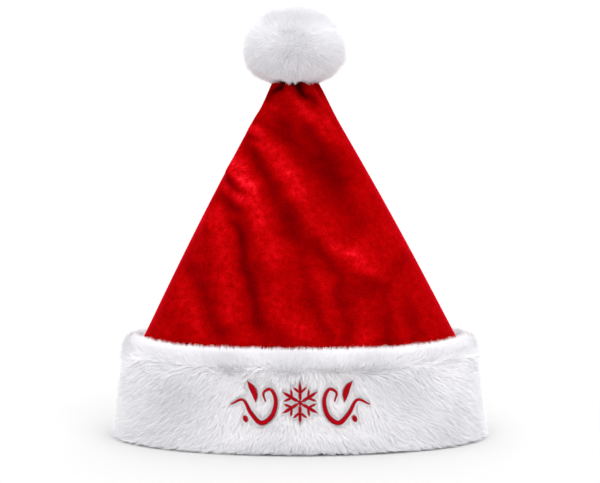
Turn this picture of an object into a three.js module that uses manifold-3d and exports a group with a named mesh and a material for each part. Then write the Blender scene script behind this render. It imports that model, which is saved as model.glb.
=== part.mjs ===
// A plush santa hat standing by itself: a red velvet cone with soft folds, a deep white fur cuff,
// a white fur pompom on the gathered tip, and a raised satin-stitched motif on the front of the cuff.
// Lengths are millimetres and +Z is up. The front faces -Y. The origin is the middle of the head opening,
// on the surface that the hat stands on.

import * as THREE from 'three';
import { mergeVertices } from 'three/addons/utils/BufferGeometryUtils.js';
import Module from 'manifold-3d';

const { clamp, lerp, smoothstep, degToRad } = THREE.MathUtils;
const TAU = 2 * Math.PI;

// Driving sizes

const OPENING_WIDTH = 232; // the head opening inside the crown's foot, side to side
const OPENING_DEPTH = 128; // the same, front to back
const CLOTH = 2; // thickness of the plush
const GAP = 0.4; // clearance between two pieces that touch
const HEM = 2; // height of the crown's lower edge inside the cuff

const SEAM_HEIGHT = 75; // where the crown leaves the cuff and starts to narrow
const TIP_HEIGHT = 265; // where the crown goes into the pompom
const TIP_WIDTH = 33; // the gathered tip, side to side
const TIP_DEPTH = 27; // the same, front to back
const TIP_LEAN = 4; // how far the tip stands to the hat's left in the front view
const TIP_CAP = 4; // height of the closed end above the tip
const CROWN_BULGE = 2; // how far the long sides swell outwards, half way up
const FOLDS_START = 4; // how far below the seam the folds begin, inside the cuff
const FOLDS_RISE = 20; // how far further up they have their full depth

const GATHER_COUNT = 7; // pleats round the tip
const GATHER_DEPTH = 2; // how far a pleat stands in or out at the tip
const GATHER_LENGTH = 42; // how far down from the tip the pleats run

const CUFF_HEIGHT = 78; // top of the fur roll
const CUFF_FOOT_THICKNESS = 22.5; // backing, padding and fur at the foot
const CUFF_TOP_THICKNESS = 14.5; // the same at the roll
const CUFF_LOCK = 5; // how far the fur locks stand out from the cuff
const CUFF_LOCK_VARY = 0.2; // the largest share by which one lock is shorter than another

const POMPOM_WIDTH = 80; // across the tips of the fur
const POMPOM_HEIGHT = 59; // top to bottom, the same way
const POMPOM_LOCK = 5; // how far its fur locks stand out
const POMPOM_GROOVE = 0.15; // the least share of a lock's depth that is left between two locks
const POMPOM_GROOVE_VARY = 0.25; // the largest share that may be left besides
const POMPOM_SEAT_WIDTH = 30; // the flat seat on the crown's tip
const POMPOM_THROAT_WIDTH = 38; // where its fur begins, close above the seat
const POMPOM_CROWN_DIP = 1; // how far the fur's parting at the top lies below the tips round it

const MOTIF_WIDTH = 104; // the embroidery on the front of the cuff
const MOTIF_HEIGHT = 38;
const MOTIF_RISE = 38; // height of its middle above the surface that the hat stands on
const MOTIF_PRESS = 3.5; // how deep the fur is pressed in under it
const MOTIF_MARGIN = 9; // how far round it the fur rises again to its full form
const STITCH_HEIGHT = 2; // how thick the stitching lies
const SNOWFLAKE_SIZE = 30; // tip to tip
const SNOWFLAKE_ARM = 2.8; // width of an arm
const SNOWFLAKE_TWIG = 2.2; // width of a side twig
const TWIG_PLACE = 6.9; // how far from the middle a twig leaves its arm
const TWIG_LENGTH = 6.3;
const TWIG_TURN = 52; // degrees between a twig and its arm
const SCROLL_STITCH = 4.2; // widest stroke of a scroll
const LEAF_STITCH = 6; // widest stroke of a leaf
const DOT_SIZE = 5; // across a dot

// Mesh fineness

const CROWN_COLUMNS = 60;
const CROWN_ROWS = 15; // between the seam and the tip
const CUFF_COLUMNS = 92;
const CUFF_WALL_ROWS = 9; // up the outside, between the foot and the crease
const POMPOM_COLUMNS = 36;
const POMPOM_ROWS = 13;
const POMPOM_FIRST_ROW = 0.3; // how far above its throat the first row lies, as a share of a row
const CUFF_LOCK_ROWS = 4; // rows that one lock runs over
const SCROLL_STEPS = 26;
const LEAF_STEPS = 10;
const TWIG_STEPS = 4;

// Shape tables

// The crown's soft folds. side is -1 for the front and 1 for the back. A fold runs from one place to another:
// across is a share of half the crown's width at the seam, and up of its height above the seam. wide and deep
// are shares of the same half width, and deep is negative for a valley.
const FOLDS = [
  { side: -1, across0: -0.27, up0: 0.81, across1: 0.0, up1: 0.56, wide: 0.088, deep: 0.034 },
  { side: -1, across0: 0.0, up0: 0.56, across1: 0.42, up1: 0.27, wide: 0.1, deep: 0.034 },
  { side: -1, across0: -0.3, up0: 0.76, across1: -0.06, up1: 0.4, wide: 0.088, deep: -0.03 },
  { side: -1, across0: -0.06, up0: 0.4, across1: 0.04, up1: 0.1, wide: 0.1, deep: -0.026 },
  { side: -1, across0: -0.4, up0: 0.68, across1: -0.16, up1: 0.32, wide: 0.088, deep: 0.032 },
  { side: -1, across0: -0.16, up0: 0.32, across1: -0.1, up1: 0.06, wide: 0.1, deep: 0.026 },
  { side: -1, across0: -0.45, up0: 0.54, across1: -0.28, up1: 0.06, wide: 0.088, deep: -0.036 },
  { side: -1, across0: -0.54, up0: 0.46, across1: -0.44, up1: 0.1, wide: 0.088, deep: 0.026 },
  { side: -1, across0: -0.7, up0: 0.24, across1: -0.6, up1: 0.04, wide: 0.088, deep: -0.024 },
  { side: -1, across0: 0.02, up0: 0.78, across1: 0.32, up1: 0.42, wide: 0.163, deep: -0.044 },
  { side: -1, across0: 0.14, up0: 0.86, across1: 0.62, up1: 0.36, wide: 0.1, deep: 0.026 },
  { side: -1, across0: 0.12, up0: 0.36, across1: 0.34, up1: 0.05, wide: 0.1, deep: -0.036 },
  { side: -1, across0: 0.22, up0: 0.22, across1: 0.3, up1: 0.02, wide: 0.075, deep: 0.02 },
  { side: -1, across0: 0.6, up0: 0.2, across1: 0.72, up1: 0.02, wide: 0.1, deep: -0.026 },
  { side: 1, across0: 0.2, up0: 0.8, across1: -0.1, up1: 0.42, wide: 0.125, deep: 0.036 },
  { side: 1, across0: -0.1, up0: 0.42, across1: -0.3, up1: 0.1, wide: 0.125, deep: 0.03 },
  { side: 1, across0: -0.12, up0: 0.74, across1: -0.44, up1: 0.2, wide: 0.112, deep: -0.036 },
  { side: 1, across0: 0.3, up0: 0.6, across1: 0.16, up1: 0.12, wide: 0.125, deep: -0.04 },
  { side: 1, across0: 0.42, up0: 0.5, across1: 0.5, up1: 0.08, wide: 0.112, deep: 0.032 },
  { side: 1, across0: -0.6, up0: 0.3, across1: -0.68, up1: 0.04, wide: 0.1, deep: 0.026 },
  { side: 1, across0: 0.7, up0: 0.26, across1: 0.74, up1: 0.04, wide: 0.088, deep: -0.026 },
];

// The crown's closed end. draw is a share of the tip's size there and up of the cap's height.
const TIP_CAP_SECTION = [
  { draw: 0.86, up: 0.7 },
  { draw: 0.6, up: 1 },
];

// The cuff's section away from its outer wall. out is a share of the cuff's thickness, up of its height,
// and lock of the depth of a fur lock there.
const CUFF_FOOT = [
  { out: 0, up: 0.9, lock: 0 },
  { out: 0, up: 0.46, lock: 0 },
  { out: 0, up: 0.05, lock: 0 },
  { out: 0.12, up: 0, lock: 0 },
  { out: 0.72, up: 0, lock: 0 },
  { out: 0.94, up: 0.035, lock: 0.5 },
];
const CUFF_WALL = { out: 1, fromUp: 0.09, toUp: 0.74, lock: 1 };
const CUFF_ROLL = [
  { out: 0.95, up: 0.8, lock: 0.1 },
  { out: 1.0, up: 0.87, lock: 0.8 },
  { out: 0.9, up: 0.95, lock: 1 },
  { out: 0.66, up: 1.0, lock: 0.8 },
  { out: 0.36, up: 1.0, lock: 0.6 },
  { out: 0.1, up: 0.96, lock: 0.2 },
];

// Shallow dents in the cuff. around is in degrees from the front, positive towards +X, up is a share of the
// cuff's height, broad is in degrees, tall a share of the height, and deep a share of the cuff's thickness.
const DENTS = [
  { around: -27, up: 0.62, broad: 9, tall: 0.3, deep: 0.1 },
  { around: -48, up: 0.5, broad: 8, tall: 0.22, deep: 0.07 },
  { around: 13, up: 0.68, broad: 7, tall: 0.16, deep: 0.05 },
  { around: 37, up: 0.6, broad: 11, tall: 0.26, deep: 0.1 },
  { around: 104, up: 0.5, broad: 14, tall: 0.3, deep: 0.08 },
  { around: 160, up: 0.55, broad: 12, tall: 0.3, deep: 0.09 },
  { around: 214, up: 0.45, broad: 13, tall: 0.26, deep: 0.08 },
  { around: 262, up: 0.6, broad: 12, tall: 0.3, deep: 0.07 },
];

// Strokes of the embroidery on the +X side, mirrored for the other. across is a share of half the motif's
// width and up of half its height.
const SCROLL_PATH = [
  { across: 0.5, up: 0.04 },
  { across: 0.53, up: 0.36 },
  { across: 0.43, up: 0.5 },
  { across: 0.35, up: 0.12 },
  { across: 0.4, up: -0.5 },
  { across: 0.55, up: -0.78 },
  { across: 0.7, up: -0.42 },
  { across: 0.83, up: 0.08 },
  { across: 1.0, up: -0.1 },
];
const LEAF_PATH = [
  { across: 0.64, up: 0.0 },
  { across: 0.67, up: 0.42 },
  { across: 0.77, up: 0.78 },
];
const DOT_PLACE = { across: 0.78, up: -0.62 };

// The solids' own helpers

// Reaches from 0 at the near end to 1, and fades again at the far end
const swell = (share) => Math.sin(Math.PI * clamp(share, 0, 1));

// A number from 0 to 1 that is always the same for the same row and column
function steadyNoise(row, column) {
  const wave = Math.sin(row * 127.1 + column * 311.7) * 43758.5453;
  return wave - Math.floor(wave);
}

// A closed solid through rings of points. Seen against the way that the rings follow each other, a ring runs
// counterclockwise. A ring of one point closes an end, and a looped solid joins its last ring to its first.
// Each four-sided field is split along its shorter diagonal, so that a lock keeps its point.
function solidThroughRings(rings, looped = false) {
  const positions = [];
  const starts = rings.map((ring) => {
    const start = positions.length / 3;
    ring.forEach((point) => positions.push(point.x, point.y, point.z));
    return start;
  });
  const index = [];
  const strips = looped ? rings.length : rings.length - 1;
  for (let strip = 0; strip < strips; strip += 1) {
    const after = (strip + 1) % rings.length;
    const near = rings[strip];
    const far = rings[after];
    const count = Math.max(near.length, far.length);
    for (let column = 0; column < count; column += 1) {
      const next = (column + 1) % count;
      const nearNow = starts[strip] + (near.length > 1 ? column : 0);
      const nearNext = starts[strip] + (near.length > 1 ? next : 0);
      const farNow = starts[after] + (far.length > 1 ? column : 0);
      const farNext = starts[after] + (far.length > 1 ? next : 0);
      const at = (ringOfPoints, place) => ringOfPoints[ringOfPoints.length > 1 ? place : 0];
      const rising = at(near, column).distanceTo(at(far, next));
      const falling = at(near, next).distanceTo(at(far, column));
      if (near.length === 1) index.push(nearNow, farNext, farNow);
      else if (far.length === 1) index.push(nearNow, nearNext, farNow);
      else if (rising <= falling) index.push(nearNow, nearNext, farNext, nearNow, farNext, farNow);
      else index.push(nearNow, nearNext, farNow, nearNext, farNext, farNow);
    }
  }
  const geometry = new THREE.BufferGeometry();
  geometry.setAttribute('position', new THREE.Float32BufferAttribute(positions, 3));
  geometry.setIndex(index);
  geometry.computeVertexNormals();
  return geometry;
}

// The points of one ring, worked out from the angle round +Z
function ring(columns, pointAt) {
  return Array.from({ length: columns }, (_, column) => pointAt((column / columns) * TAU, column));
}

const wasm = await Module();
wasm.setup();

function manifoldOf(geometry) {
  const bare = geometry.clone();
  bare.deleteAttribute('normal');
  bare.deleteAttribute('uv');
  const merged = mergeVertices(bare);
  return new wasm.Manifold(
    new wasm.Mesh({
      numProp: 3,
      vertProperties: merged.attributes.position.array,
      triVerts: new Uint32Array(merged.index.array),
    }),
  );
}

function geometryOf(manifold) {
  const mesh = manifold.getMesh();
  const geometry = new THREE.BufferGeometry();
  geometry.setAttribute('position', new THREE.BufferAttribute(mesh.vertProperties, mesh.numProp));
  geometry.setIndex(new THREE.BufferAttribute(mesh.triVerts, 1));
  geometry.computeVertexNormals();
  return geometry;
}

function joined(geometries) {
  return geometryOf(geometries.map(manifoldOf).reduce((all, one) => all.add(one)));
}

// The crown

// Half the width and half the depth of the crown's outside at a height, and how far it leans
function crownOval(height) {
  const rise = clamp((height - SEAM_HEIGHT) / (TIP_HEIGHT - SEAM_HEIGHT), 0, 1);
  const bulge = CROWN_BULGE * swell(rise);
  return {
    halfWidth: lerp(OPENING_WIDTH / 2 + CLOTH, TIP_WIDTH / 2, rise) + bulge,
    halfDepth: lerp(OPENING_DEPTH / 2 + CLOTH, TIP_DEPTH / 2, rise) + bulge,
    lean: -TIP_LEAN * rise,
  };
}

// How far the folds move the plush out of the plain cone, at a place on the front or the back
function foldOffset(x, y, height) {
  const halfSeam = OPENING_WIDTH / 2 + CLOTH;
  const tall = TIP_HEIGHT - SEAM_HEIGHT;
  let offset = 0;
  for (const fold of FOLDS) {
    if (fold.side * y < 0) continue;
    const start = new THREE.Vector2(fold.across0 * halfSeam, SEAM_HEIGHT + fold.up0 * tall);
    const end = new THREE.Vector2(fold.across1 * halfSeam, SEAM_HEIGHT + fold.up1 * tall);
    const run = end.clone().sub(start);
    const place = new THREE.Vector2(x, height);
    const share = clamp(place.clone().sub(start).dot(run) / run.lengthSq(), 0, 1);
    const away = place.distanceTo(start.clone().addScaledVector(run, share));
    offset += fold.deep * halfSeam * Math.exp(-((away / (fold.wide * halfSeam)) ** 2));
  }
  // Folds fade out where the front meets the back
  const oval = crownOval(height);
  return offset * smoothstep(Math.abs(y) / oval.halfDepth, 0, 0.5);
}

// The pleats that the tip is drawn together with
function gatherOffset(angle, height) {
  const near = smoothstep(height, TIP_HEIGHT - GATHER_LENGTH, TIP_HEIGHT);
  return GATHER_DEPTH * near * near * Math.cos(GATHER_COUNT * angle);
}

// A point of the crown. inset is how far inside the outer face it lies, and share draws the oval in
function crownPoint(angle, height, inset = 0, share = 1) {
  const oval = crownOval(height);
  const x = oval.halfWidth * Math.cos(angle);
  const y = oval.halfDepth * Math.sin(angle);
  const outward = new THREE.Vector2(x / oval.halfWidth ** 2, y / oval.halfDepth ** 2).normalize();
  const start = SEAM_HEIGHT - FOLDS_START;
  const folds = smoothstep(height, start, start + FOLDS_RISE) * foldOffset(x, y, height);
  const move = folds + gatherOffset(angle, height) - inset;
  return new THREE.Vector3(
    oval.lean + (x + outward.x * move) * share,
    (y + outward.y * move) * share,
    height,
  );
}

function crownGeometry() {
  const heights = [HEM, SEAM_HEIGHT / 2, SEAM_HEIGHT];
  for (let row = 1; row <= CROWN_ROWS; row += 1) {
    heights.push(lerp(SEAM_HEIGHT, TIP_HEIGHT, row / CROWN_ROWS));
  }
  const outside = heights.map((height) =>
    ring(CROWN_COLUMNS, (angle) => crownPoint(angle, height)),
  );
  const inside = heights
    .map((height) => ring(CROWN_COLUMNS, (angle) => crownPoint(angle, height, CLOTH)))
    .reverse();
  const top = TIP_HEIGHT + TIP_CAP;
  const cap = TIP_CAP_SECTION.map(({ draw, up }) =>
    ring(CROWN_COLUMNS, (angle) => crownPoint(angle, TIP_HEIGHT, 0, draw).setZ(TIP_HEIGHT + up * TIP_CAP)),
  );
  const innerTip = [new THREE.Vector3(-TIP_LEAN, 0, top - CLOTH)];
  const outerTip = [new THREE.Vector3(-TIP_LEAN, 0, top)];
  return solidThroughRings([innerTip, ...inside, ...outside, ...cap, outerTip]);
}

// The cuff

// A point of the cuff, at an angle round it. out is a distance from the crown's face and up a height
function cuffPoint(angle, out, up) {
  const halfWidth = OPENING_WIDTH / 2 + CLOTH + GAP + out;
  const halfDepth = OPENING_DEPTH / 2 + CLOTH + GAP + out;
  return new THREE.Vector3(halfWidth * Math.cos(angle), halfDepth * Math.sin(angle), up);
}

const cuffThickness = (up) => lerp(CUFF_FOOT_THICKNESS, CUFF_TOP_THICKNESS, up / CUFF_HEIGHT);

// How far a dent or the pressed fur under the embroidery lies below the cuff's full form
function cuffHollow(angle, up) {
  const around = (angle + TAU / 4) % TAU;
  let hollow = 0;
  for (const dent of DENTS) {
    const turn = Math.abs(around - ((degToRad(dent.around) + TAU) % TAU));
    const aside = Math.min(turn, TAU - turn) / degToRad(dent.broad);
    const above = (up / CUFF_HEIGHT - dent.up) / dent.tall;
    hollow += dent.deep * cuffThickness(up) * Math.exp(-aside * aside - above * above);
  }
  return hollow;
}

// From 0 to 1, how much the embroidery presses the fur down here
function pressedAt(angle, up) {
  if (Math.sin(angle) > 0) return 0;
  const halfWidth = OPENING_WIDTH / 2 + CLOTH + CUFF_FOOT_THICKNESS;
  const across = Math.abs(halfWidth * Math.cos(angle)) - MOTIF_WIDTH / 2;
  const above = Math.abs(up - MOTIF_RISE) - MOTIF_HEIGHT / 2;
  return (1 - smoothstep(across, 0, MOTIF_MARGIN)) * (1 - smoothstep(above, 0, MOTIF_MARGIN));
}

// The locks lie over each other like shingles in staggered columns, each rising to its tip
function cuffLock(row, column) {
  const step = (row + (CUFF_LOCK_ROWS / 2) * (column % 2)) % CUFF_LOCK_ROWS;
  const full = (CUFF_LOCK_ROWS - step) / CUFF_LOCK_ROWS;
  return full * (1 - CUFF_LOCK_VARY * steadyNoise(row, column));
}

function cuffSection() {
  const wall = Array.from({ length: CUFF_WALL_ROWS }, (_, row) => ({
    out: CUFF_WALL.out,
    up: lerp(CUFF_WALL.fromUp, CUFF_WALL.toUp, row / (CUFF_WALL_ROWS - 1)),
    lock: CUFF_WALL.lock,
  }));
  return [...CUFF_FOOT, ...wall, ...CUFF_ROLL];
}

// The cuff's form under its locks: the distance out at a share of the thickness, less hollows and locks
function cuffOut(station, angle, up) {
  const full = station.out * cuffThickness(up);
  if (station.lock === 0) return full;
  return full - station.lock * (cuffHollow(angle, up) + MOTIF_PRESS * pressedAt(angle, up));
}

function cuffGeometry() {
  const section = cuffSection();
  const rings = section.map((station, row) => {
    const before = section[(row + section.length - 1) % section.length];
    const after = section[(row + 1) % section.length];
    const up = station.up * CUFF_HEIGHT;
    const run = new THREE.Vector2(
      (after.out - before.out) * cuffThickness(up),
      (after.up - before.up) * CUFF_HEIGHT,
    ).normalize();
    return ring(CUFF_COLUMNS, (angle, column) => {
      const furled = (1 - cuffLock(row, column)) * (1 - pressedAt(angle, up));
      const sunk = CUFF_LOCK * station.lock * furled;
      return cuffPoint(angle, cuffOut(station, angle, up) - sunk * run.y, up + sunk * run.x);
    });
  });
  return solidThroughRings(rings, true);
}

// The pompom

function pompomGeometry() {
  const seat = TIP_HEIGHT + TIP_CAP + GAP;
  const halfWidth = POMPOM_WIDTH / 2;
  const halfHeight = POMPOM_HEIGHT / 2;
  const seatRadius = POMPOM_SEAT_WIDTH / 2;
  const lowest = -Math.acos(POMPOM_THROAT_WIDTH / 2 / halfWidth);
  const middle = seat - halfHeight * Math.sin(lowest);
  const rings = [
    [new THREE.Vector3(-TIP_LEAN, 0, seat)],
    ring(POMPOM_COLUMNS, (angle) =>
      new THREE.Vector3(
        -TIP_LEAN + seatRadius * Math.cos(angle),
        seatRadius * Math.sin(angle),
        seat,
      ),
    ),
  ];
  for (let row = 0; row < POMPOM_ROWS; row += 1) {
    const rise = lerp(lowest, TAU / 4, (row + POMPOM_FIRST_ROW) / POMPOM_ROWS);
    rings.push(
      ring(POMPOM_COLUMNS, (angle, column) => {
        const groove = POMPOM_GROOVE + POMPOM_GROOVE_VARY * steadyNoise(row, column);
        const lock = (row + column) % 2 ? groove : 1;
        const short = POMPOM_LOCK * (1 - lock) * Math.sqrt(Math.cos(rise));
        const across = (halfWidth - short) * Math.cos(rise);
        return new THREE.Vector3(
          -TIP_LEAN + across * Math.cos(angle),
          across * Math.sin(angle),
          middle + (halfHeight - short) * Math.sin(rise),
        );
      }),
    );
  }
  rings.push([new THREE.Vector3(-TIP_LEAN, 0, middle + halfHeight - POMPOM_CROWN_DIP)]);
  return solidThroughRings(rings);
}

// The embroidery

// A point over the cuff's pressed fur, across and up from the middle of the motif, and how high above it
function motifPoint(across, up, above) {
  const halfWidth = OPENING_WIDTH / 2 + CLOTH + GAP + CUFF_FOOT_THICKNESS;
  const angle = -TAU / 4 + Math.asin(across / halfWidth);
  const height = MOTIF_RISE + up;
  const floor = cuffThickness(height) - cuffHollow(angle, height) - MOTIF_PRESS;
  return cuffPoint(angle, floor + GAP + above, height);
}

// A satin-stitched stroke along a path, with its width at each share of the way, domed and pointed
function stroke(path, steps, widthAt) {
  const rings = [];
  const tipAt = (share) => {
    const point = path.getPointAt(share);
    return [motifPoint(point.x, point.y, 0.25 * STITCH_HEIGHT)];
  };
  rings.push(tipAt(0));
  for (let step = 1; step < steps; step += 1) {
    const share = step / steps;
    const point = path.getPointAt(share);
    const run = path.getTangentAt(share);
    const half = widthAt(share) / 2;
    const rise = STITCH_HEIGHT * Math.min(1, 0.4 + half / STITCH_HEIGHT);
    const section = [
      { aside: 1, above: 0 },
      { aside: 0.72, above: 0.72 },
      { aside: 0, above: 1 },
      { aside: -0.72, above: 0.72 },
      { aside: -1, above: 0 },
    ];
    rings.push(
      section.map(({ aside, above }) =>
        motifPoint(point.x - run.y * aside * half, point.y + run.x * aside * half, above * rise),
      ),
    );
  }
  rings.push(tipAt(1));
  return solidThroughRings(rings);
}

// A smooth path through a table's places, mirrored for side -1
function motifPath(table, side) {
  const places = table.map(
    ({ across, up }) =>
      new THREE.Vector3((side * across * MOTIF_WIDTH) / 2, (up * MOTIF_HEIGHT) / 2, 0),
  );
  return new THREE.CatmullRomCurve3(places, false, 'centripetal');
}

function scrollGeometry(side) {
  const widthAt = (share) => SCROLL_STITCH * (0.3 + 0.7 * swell(share) ** 0.8);
  return stroke(motifPath(SCROLL_PATH, side), SCROLL_STEPS, widthAt);
}

function leafGeometry(side) {
  const widthAt = (share) => LEAF_STITCH * swell(share) ** 0.9;
  return stroke(motifPath(LEAF_PATH, side), LEAF_STEPS, widthAt);
}

// A straight bar of stitching between two places, as one arm or twig of the snowflake
function bar(x0, y0, x1, y1, wide) {
  const path = new THREE.LineCurve3(new THREE.Vector3(x0, y0, 0), new THREE.Vector3(x1, y1, 0));
  const widthAt = (share) => wide * Math.min(1, 4 * share, 4 * (1 - share));
  return stroke(path, 2 * TWIG_STEPS, widthAt);
}

function snowflakeGeometry() {
  const radius = SNOWFLAKE_SIZE / 2;
  const bars = [];
  for (let arm = 0; arm < 6; arm += 1) {
    const way = degToRad(30 + 60 * arm);
    const along = new THREE.Vector2(Math.cos(way), Math.sin(way));
    if (arm < 3) {
      bars.push(bar(-along.x * radius, -along.y * radius, along.x * radius, along.y * radius, SNOWFLAKE_ARM));
    }
    for (const turn of [-1, 1]) {
      const twig = way + turn * degToRad(TWIG_TURN);
      const from = along.clone().multiplyScalar(TWIG_PLACE);
      bars.push(
        bar(
          from.x,
          from.y,
          from.x + TWIG_LENGTH * Math.cos(twig),
          from.y + TWIG_LENGTH * Math.sin(twig),
          SNOWFLAKE_TWIG,
        ),
      );
    }
  }
  return joined(bars);
}

function dotGeometry(side) {
  const x = (side * DOT_PLACE.across * MOTIF_WIDTH) / 2;
  const y = (DOT_PLACE.up * MOTIF_HEIGHT) / 2;
  const path = new THREE.LineCurve3(
    new THREE.Vector3(x, y - DOT_SIZE / 2, 0),
    new THREE.Vector3(x, y + DOT_SIZE / 2, 0),
  );
  const widthAt = (share) => DOT_SIZE * Math.sqrt(Math.max(0, 1 - (2 * share - 1) ** 2));
  return stroke(path, LEAF_STEPS, widthAt);
}

// Materials and the hat

const redPlush = new THREE.MeshStandardMaterial({ color: 0xb8000f, roughness: 0.85, metalness: 0 });
const whiteFur = new THREE.MeshStandardMaterial({ color: 0xf3f2f5, roughness: 0.95, metalness: 0 });
const redThread = new THREE.MeshStandardMaterial({ color: 0xa8000e, roughness: 0.45, metalness: 0 });

function piece(name, geometry, material) {
  const mesh = new THREE.Mesh(geometry, material);
  mesh.name = name;
  return mesh;
}

const hat = new THREE.Group();
hat.add(piece('crown', crownGeometry(), redPlush));
hat.add(piece('cuff', cuffGeometry(), whiteFur));
hat.add(piece('pompom', pompomGeometry(), whiteFur));

const embroidery = new THREE.Group();
embroidery.add(piece('embroidered_snowflake', snowflakeGeometry(), redThread));
for (const [name, side] of [['left', -1], ['right', 1]]) {
  embroidery.add(piece(`embroidered_scroll_${name}`, scrollGeometry(side), redThread));
  embroidery.add(piece(`embroidered_leaf_${name}`, leafGeometry(side), redThread));
  embroidery.add(piece(`embroidered_dot_${name}`, dotGeometry(side), redThread));
}
hat.add(embroidery);

export default hat;
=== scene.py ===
# A plush santa hat standing on a pale floor: a red velvet cone with soft folds, a deep white fur cuff,
# a white fur pompom and a satin-stitched motif on the front of the cuff. Lengths are metres, +Z is up,
# the front faces -Y, and the origin is the middle of the head opening on the floor.

import math
from collections import namedtuple

import bpy
import numpy as np
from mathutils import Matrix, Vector
from mathutils.kdtree import KDTree


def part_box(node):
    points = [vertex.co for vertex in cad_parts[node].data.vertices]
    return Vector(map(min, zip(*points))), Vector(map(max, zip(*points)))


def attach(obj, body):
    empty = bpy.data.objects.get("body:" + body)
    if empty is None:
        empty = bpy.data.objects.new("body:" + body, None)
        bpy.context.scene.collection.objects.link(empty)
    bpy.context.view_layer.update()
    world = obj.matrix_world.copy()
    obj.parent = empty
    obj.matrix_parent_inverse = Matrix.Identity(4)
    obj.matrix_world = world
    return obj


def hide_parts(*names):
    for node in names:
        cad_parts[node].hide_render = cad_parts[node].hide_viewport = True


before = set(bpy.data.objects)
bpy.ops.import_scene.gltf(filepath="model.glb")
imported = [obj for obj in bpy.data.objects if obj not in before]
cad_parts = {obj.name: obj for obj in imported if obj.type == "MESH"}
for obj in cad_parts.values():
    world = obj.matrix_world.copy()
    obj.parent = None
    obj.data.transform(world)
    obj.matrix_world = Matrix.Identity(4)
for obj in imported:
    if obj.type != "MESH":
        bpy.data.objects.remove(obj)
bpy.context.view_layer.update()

TAU = 2 * math.pi

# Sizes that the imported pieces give

crown_low, crown_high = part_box("crown")
cuff_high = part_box("cuff")[1]
pompom_low, pompom_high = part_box("pompom")

CLOTH = 0.002  # thickness of the plush
OPENING_WIDTH = crown_high.x - crown_low.x - 2 * CLOTH
OPENING_DEPTH = crown_high.y - crown_low.y - 2 * CLOTH
HALF_WIDTH = OPENING_WIDTH / 2 + CLOTH  # from the crown's middle to its outer face at the seam
HALF_DEPTH = OPENING_DEPTH / 2 + CLOTH
CUFF_HEIGHT = cuff_high.z
HEM = crown_low.z
TIP_TOP = crown_high.z
POMPOM_MIDDLE_X = (pompom_low.x + pompom_high.x) / 2
POMPOM_TOP = pompom_high.z

# Driving sizes of the hat

GAP = 0.0004  # between two pieces that touch
SEAM_HEIGHT = 0.075  # where the crown leaves the cuff and starts to narrow
FOLDS_START = 0.004  # how far below the seam the folds begin
FOLDS_RISE = 0.020  # how far further up they have their full depth
TIP_CAP = 0.004
TIP_HEIGHT = TIP_TOP - TIP_CAP
CONE_RISE = TIP_HEIGHT - SEAM_HEIGHT
TIP_WIDTH = 0.033
TIP_DEPTH = 0.027
TIP_LEAN = 0.004  # how far the tip stands to the left in the front view
CROWN_BULGE = 0.002
GATHER_COUNT = 7
GATHER_DEPTH = 0.002
GATHER_LENGTH = 0.042

CUFF_FOOT_THICKNESS = 0.0225
CUFF_TOP_THICKNESS = 0.0145

POMPOM_WIDTH = 0.080
POMPOM_HALF_HEIGHT = 0.0308
POMPOM_FULLNESS = 0.6  # how much squarer than an oval its lower half is

MOTIF_WIDTH = 0.104
MOTIF_HEIGHT = 0.038
MOTIF_RISE = 0.038
MOTIF_PRESS = 0.0035  # how deep the stitches lie in the fur
FUR_PRESS = 0.0016  # how deep the fur between them is pressed
MOTIF_MARGIN = 0.013
STITCH_HEIGHT = 0.002
SNOWFLAKE_SIZE = 0.030
SNOWFLAKE_ARM = 0.0028
SNOWFLAKE_TWIG = 0.0022
TWIG_PLACE = 0.0069
TWIG_LENGTH = 0.0063
TWIG_TURN = 52  # degrees between a twig and its arm
SCROLL_STITCH = 0.0042
LEAF_STITCH = 0.006
DOT_SIZE = 0.005

# Sizes of what is finer than the solids

FUR_DEPTH = 0.0062  # from a strand's root to the fur's outer form
ROLL_FUR_DEPTH = 0.0048  # the same on the roll
FUR_LENGTH = 0.0094
ROLL_FUR_LENGTH = 0.0080
MOTIF_FUR_LENGTH = 0.0090
FUR_WIDTH = 0.00033
CUFF_STRANDS = 216_000
CUFF_CLUMP = 0.0021  # distance between the middles of two wisps
CUFF_PIECES = 4
HOLLOW_SHADE = 85  # how much darker the fur lies in a dent, per metre of its depth
ROLL_SAG = 0.0022  # how much lower the roll is in front
FOOT_TUFT = 0.0026  # how unevenly the fur ends over the floor
FOOT_SPLAY = 0.45  # how far the floor turns it out, as a share of how far it would reach below the floor
POMPOM_STRANDS = 62_000
POMPOM_CLUMP = 0.0036
POMPOM_FUR_WIDTH = 0.00036
POMPOM_ROOT = 0.66  # where a strand starts, as a share of the way out
POMPOM_BEND = 0.82  # where it bends over
POMPOM_CORE = 0.78  # the soft ball that the strands grow from
POMPOM_LEAN = 0.5  # how far the strands fall over, as a share of half the pompom's width
FRINGE_BOTTOM = 0.0052  # how far below the crown's tip the pompom's longest ends hang
FRINGE_STEP = 0.0042  # how unevenly they end, and how far they stand off the crown
THREAD_PITCH = 0.00055  # from one satin thread to the next
THREAD_RISE = 0.00028  # how far a thread stands out of its neighbours' valleys
THREAD_SLANT = 0.35  # how far the threads lean along a stroke
STITCH_MARGIN = 0.0006  # that the fur keeps from the stitches

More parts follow.
